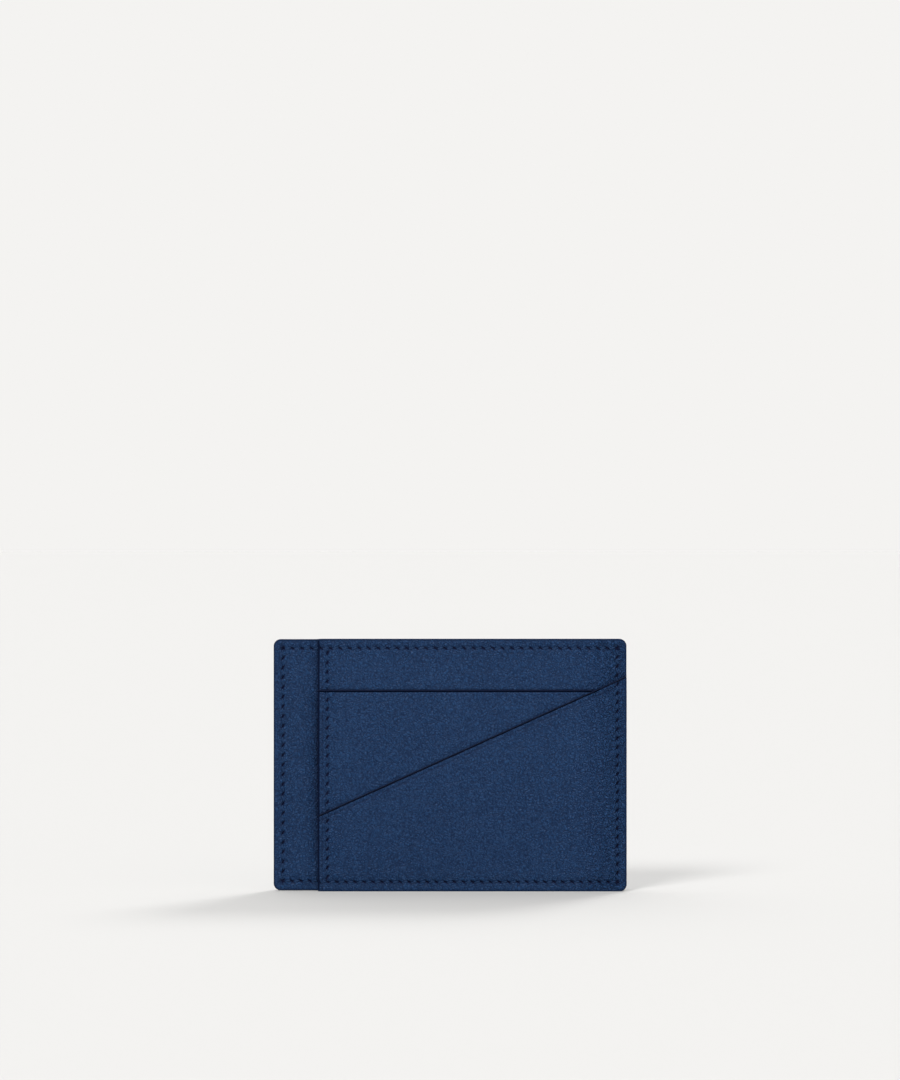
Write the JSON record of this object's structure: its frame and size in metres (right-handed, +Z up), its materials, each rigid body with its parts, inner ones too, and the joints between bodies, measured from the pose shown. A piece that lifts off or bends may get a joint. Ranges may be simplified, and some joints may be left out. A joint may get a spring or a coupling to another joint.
{
  "type": "card holder",
  "caption": "Flat leather card holder with layered front pockets under a slanting mouth, a wide open-topped back pocket and staggered side-loading card slots.",
  "frame": {"origin": "middle of the bottom edge the holder stands on, halfway through its thickness", "axes": "+Z up the holder's height, +X along its width to the right seen from the front, +Y from the front (slanting mouth) to the back (card slots)"},
  "size_m": [0.106, 0.0062, 0.0757],
  "materials": {
    "leather": "navy, fine pebbled grain, low sheen",
    "lining": "thin dark navy lining cloth",
    "stiffener": "thin bonded board",
    "adhesive": "dried contact adhesive",
    "edge_paint": "smooth dark navy edge paint",
    "thread": "navy polyester thread"
  },
  "bodies": {
    "root": {"front_base_panel": "leather", "back_base_panel": "leather", "front_backing_panel": "leather", "straight_pocket_panel": "leather", "diagonal_pocket_panel": "leather", "bill_pocket_panel": "leather", "inner_slot_panel": "leather", "middle_slot_panel": "leather", "outer_slot_panel": "leather", "side_pocket_lining": "lining", "bill_pocket_lining": "lining", "core_stiffener": "stiffener", "side_pocket_bond": "adhesive", "straight_pocket_bond": "adhesive", "diagonal_pocket_bond": "adhesive", "bill_pocket_bond": "adhesive", "inner_slot_bond": "adhesive", "middle_slot_bond": "adhesive", "outer_slot_bond": "adhesive", "perimeter_edge_paint": "edge_paint", "side_mouth_edge_paint": "edge_paint", "straight_mouth_edge_paint": "edge_paint", "diagonal_mouth_edge_paint": "edge_paint", "bill_mouth_edge_paint": "edge_paint", "inner_slot_edge_paint": "edge_paint", "middle_slot_edge_paint": "edge_paint", "outer_slot_edge_paint": "edge_paint", "perimeter_front_thread": "thread", "perimeter_back_thread": "thread", "side_mouth_front_thread": "thread", "side_mouth_inner_thread": "thread", "bill_mouth_back_thread": "thread", "bill_mouth_inner_thread": "thread"}
  },
  "joints": []
}
